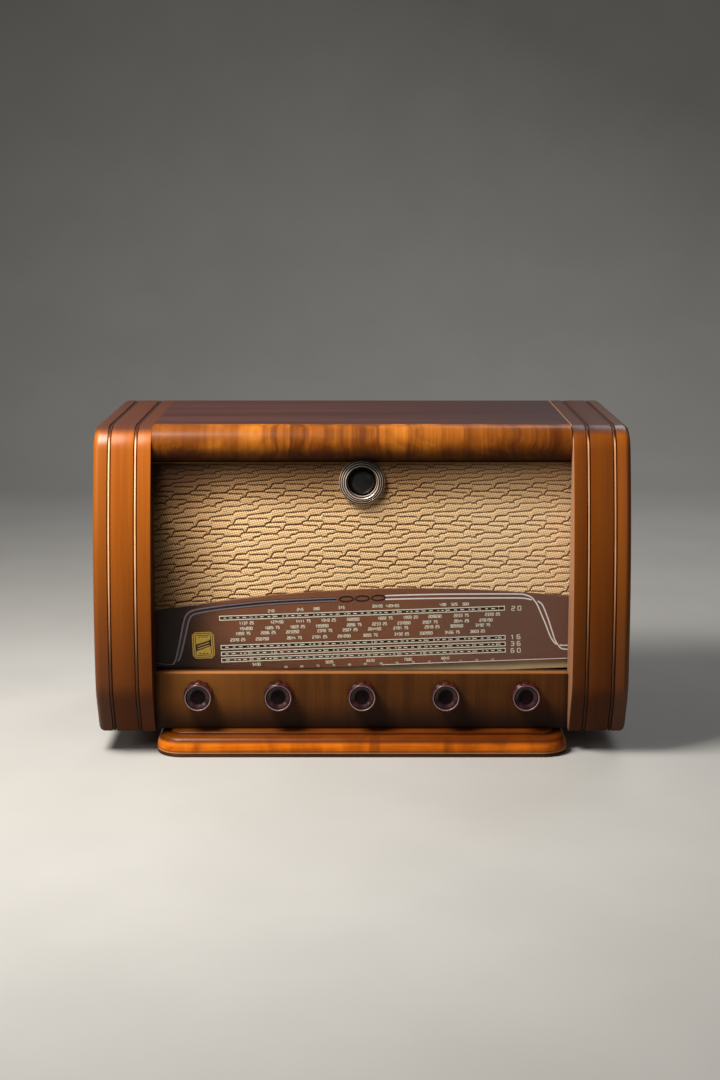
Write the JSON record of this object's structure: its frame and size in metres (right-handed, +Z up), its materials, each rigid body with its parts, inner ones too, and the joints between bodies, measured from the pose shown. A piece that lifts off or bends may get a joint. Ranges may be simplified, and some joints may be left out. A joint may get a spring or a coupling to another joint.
{
  "type": "table valve radio receiver",
  "caption": "Table valve radio with curved walnut pillars, woven loudspeaker cloth, magic eye, arched glass dial, fluted knobs and a rounded plinth.",
  "frame": {"origin": "middle of the footprint of the overall box, on the ground", "axes": "+X to the right as seen from the front, +Y to the back, +Z up; the front faces -Y"},
  "size_m": [0.56, 0.285, 0.346],
  "materials": {
    "walnut": "lacquered, high sheen",
    "walnut_dark": "lacquered, high sheen",
    "bead": "lacquered inlay",
    "dark_wood": "stained, matt",
    "plywood": "raw",
    "hardboard": "raw, matt",
    "cloth": "woven with dark brown seams",
    "brass": "lacquered",
    "dark_glass": "black window in clear glass",
    "dial_glass": "brown paint on its back",
    "lamp_glass": "clear bulb in a plated holder",
    "valve_glass": "clear, silvered at the top",
    "painted_grey": "satin",
    "painted_brown": "satin",
    "painted_olive": "matt",
    "steel": "bright",
    "plated_steel": "zinc plated",
    "aluminium": "plain",
    "iron": "black lacquer",
    "cord": "waxed flax",
    "paper": "felted paper",
    "bakelite": "moulded, polished",
    "laminate": "phenolic laminate",
    "rubber": "moulded"
  },
  "bodies": {
    "cabinet": {"left_side_panel": "walnut", "right_side_panel": "walnut", "left_pillar": "walnut", "right_pillar": "walnut", "left_beads": "bead", "right_beads": "bead", "top_panel": "walnut_dark", "front_rail": "walnut", "knob_panel": "walnut", "bottom_board": "plywood", "plinth": "walnut", "plinth_base": "dark_wood", "baffle_board": "plywood", "glass_fillets": "dark_wood", "back_cover": "hardboard", "back_screws": "steel", "speaker_cloth": "cloth", "eye_bezel": "brass", "magic_eye_tube": "dark_glass", "eye_collar": "painted_grey", "dial_glass": "dial_glass", "dial_backing": "painted_brown", "light_shield": "painted_olive", "dial_lamps": "lamp_glass", "pointer_rail": "steel", "drive_cords": "cord", "speaker_frame": "painted_grey", "speaker_magnet": "iron", "mounting_bolts": "steel", "chassis": "plated_steel", "gang_frame": "aluminium", "gang_stator": "aluminium", "potentiometers": "plated_steel", "band_switch": "laminate", "power_transformer": "iron", "output_transformer": "iron", "tuned_cans": "aluminium", "valves": "valve_glass", "valve_sockets": "bakelite", "filter_can": "aluminium", "socket_strips": "laminate", "voltage_selector": "bakelite", "mains_grommet": "rubber"},
    "pointer": {"pointer": "painted_grey"},
    "left_pulley": {"left_pulley": "brass"},
    "right_pulley": {"right_pulley": "brass"},
    "cone": {"speaker_cone": "paper"},
    "gang": {"gang_rotor": "aluminium", "drive_drum": "aluminium"},
    "volume": {"volume_knob": "bakelite", "volume_shaft": "steel"},
    "tone": {"tone_knob": "bakelite", "tone_shaft": "steel"},
    "tuning": {"tuning_knob": "bakelite", "tuning_spindle": "steel"},
    "band": {"band_knob": "bakelite", "band_shaft": "steel"},
    "bass": {"bass_knob": "bakelite", "bass_shaft": "steel"}
  },
  "joints": [
    {"name": "volume_turn", "type": "hinge", "parent": "cabinet", "child": "volume", "pos_m": [-0.1733, -0.118, 0.062], "axis": [0, 1, 0], "range_deg": [0, 300]},
    {"name": "tone_turn", "type": "hinge", "parent": "cabinet", "child": "tone", "pos_m": [-0.0885, -0.118, 0.062], "axis": [0, 1, 0], "range_deg": [0, 270]},
    {"name": "tuning_turn", "type": "hinge", "parent": "cabinet", "child": "tuning", "pos_m": [0, -0.118, 0.062], "axis": [0, 1, 0], "range_deg": [0, 3440]},
    {"name": "band_turn", "type": "hinge", "parent": "cabinet", "child": "band", "pos_m": [0.0885, -0.118, 0.062], "axis": [0, 1, 0], "range_deg": [0, 90]},
    {"name": "bass_turn", "type": "hinge", "parent": "cabinet", "child": "bass", "pos_m": [0.1733, -0.118, 0.062], "axis": [0, 1, 0], "range_deg": [0, 270]},
    {"name": "gang_turn", "type": "hinge", "parent": "cabinet", "child": "gang", "pos_m": [0.11, -0.04, 0.186], "axis": [0, 1, 0], "range_deg": [0, 180]},
    {"name": "left_pulley_turn", "type": "hinge", "parent": "cabinet", "child": "left_pulley", "pos_m": [-0.18855, -0.0774, 0.08206], "axis": [0, 1, 0], "range_deg": [-2030, 0]},
    {"name": "right_pulley_turn", "type": "hinge", "parent": "cabinet", "child": "right_pulley", "pos_m": [0.19119, -0.0774, 0.09599], "axis": [0, 1, 0], "range_deg": [-2030, 0]},
    {"name": "pointer_slide", "type": "slide", "parent": "cabinet", "child": "pointer", "axis": [0.9993, 0, 0.0366], "range_m": [0, 0.3001]},
    {"name": "cone_slide", "type": "slide", "parent": "cabinet", "child": "cone", "axis": [0, 1, 0], "range_m": [-0.0015, 0.0015], "stiffness_N_per_m": 1500}
  ],
  "couplings": [
    {"joint": "tuning_turn", "follows": "gang_turn", "ratio": 19.099},
    {"joint": "pointer_slide", "follows": "gang_turn", "m_per_rad": 0.095493},
    {"joint": "left_pulley_turn", "follows": "gang_turn", "ratio": -11.235},
    {"joint": "right_pulley_turn", "follows": "gang_turn", "ratio": -11.235}
  ]
}
